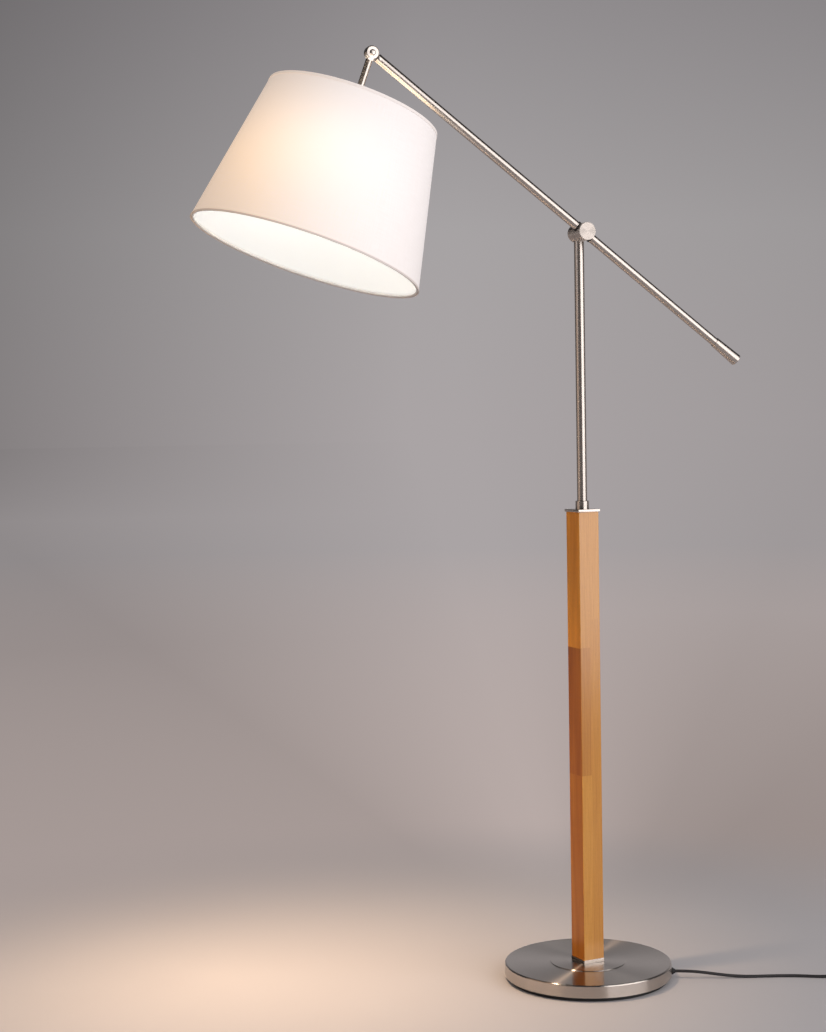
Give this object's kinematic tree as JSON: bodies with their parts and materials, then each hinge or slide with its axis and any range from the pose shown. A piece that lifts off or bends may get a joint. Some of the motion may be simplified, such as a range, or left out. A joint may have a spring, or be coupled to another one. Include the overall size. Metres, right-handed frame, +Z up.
{
  "type": "floor lamp",
  "caption": "Standing lamp with a round weighted base, square wooden column, steel post and a tilting counterweighted arm that carries a tapered fabric shade on a hinged rod.",
  "frame": {"origin": "centre of the base's underside, on the floor", "axes": "+Z up; the arm tilts in the XZ plane, with the shade towards -X and the counterweight towards +X; both hinge axes run along Y, and the arm is on the -Y side of the post"},
  "size_m": [1.3331, 0.4148, 1.6415],
  "materials": {
    "satin_steel": "satin",
    "zinc_steel": "satin",
    "black_oxide": "satin",
    "yellow_brass": "satin",
    "oak": "satin",
    "cast_weight": "matte",
    "black_rubber": "matte",
    "fibre": "matte",
    "black_plastic": "satin",
    "grey_plastic": "matte",
    "cord_black": "satin",
    "tie_black": "matte",
    "cable_sheath": "satin",
    "bulb_metal": "satin",
    "bulb_glass": "matte",
    "white_wire": "satin",
    "shade_lining": "satin",
    "shade_cloth": "matte",
    "shade_trim": "matte"
  },
  "bodies": {
    "stand": {"foot_mat": "black_rubber", "bottom_plate": "black_oxide", "bottom_screws": "zinc_steel", "base_weight": "cast_weight", "base_cover": "satin_steel", "tie_tube": "zinc_steel", "tie_nut": "zinc_steel", "tie_washer": "zinc_steel", "foot_collar": "satin_steel", "wood_column": "oak", "top_plate": "satin_steel", "post_collar": "satin_steel", "post_insert": "yellow_brass", "post_tube": "satin_steel", "drum_rear_half": "satin_steel", "pivot_bolt": "zinc_steel", "spring_washer": "zinc_steel", "cord_bush": "black_rubber", "inner_cable": "cable_sheath", "cord_floor": "cord_black", "cord_link": "cord_black", "cord_coil": "cord_black", "cord_tail": "cord_black", "cord_tie": "tie_black", "switch_shells": "black_plastic", "switch_reliefs": "black_plastic", "switch_block": "grey_plastic", "switch_spring": "zinc_steel", "plug": "black_plastic"},
    "arm": {"drum_front_half": "satin_steel", "drum_end_cap": "satin_steel", "friction_washer": "fibre", "arm_tube": "satin_steel", "arm_bushes": "fibre", "arm_grub_screw": "black_oxide", "arm_cable": "cable_sheath", "tail_plug": "yellow_brass", "tail_stud": "zinc_steel", "tail_weight": "satin_steel", "arm_knuckle": "satin_steel", "knuckle_washer": "fibre", "knuckle_screw": "satin_steel", "knuckle_nut": "satin_steel"},
    "head": {"rod_knuckle": "satin_steel", "down_rod": "satin_steel", "rod_cable": "cable_sheath", "holder_nipple": "yellow_brass", "holder_cap": "black_plastic", "holder_body": "black_plastic", "socket_shell": "yellow_brass", "centre_contact": "yellow_brass", "shade_rings": "black_plastic", "bulb_cap": "bulb_metal", "bulb_globe": "bulb_glass", "shade_spider": "white_wire", "shade_wires": "white_wire", "shade_liner": "shade_lining", "shade_fabric": "shade_cloth", "shade_trims": "shade_trim"},
    "switch_key": {"switch_button": "black_plastic"}
  },
  "joints": [
    {"name": "arm_tilt", "type": "hinge", "parent": "stand", "child": "arm", "pos_m": [0, -0.021, 1.337], "axis": [0, 1, 0], "range_deg": [-40, 25]},
    {"name": "head_tilt", "type": "hinge", "parent": "arm", "child": "head", "pos_m": [-0.38814, -0.021, 1.62948], "axis": [0, 1, 0], "range_deg": [-10, 60]},
    {"name": "switch_press", "type": "slide", "parent": "stand", "child": "switch_key", "axis": [0, 0, -1], "range_m": [0, 0.003], "stiffness_N_per_m": 1000, "springref_m": -0.001, "deforming": ["switch_spring"]}
  ]
}
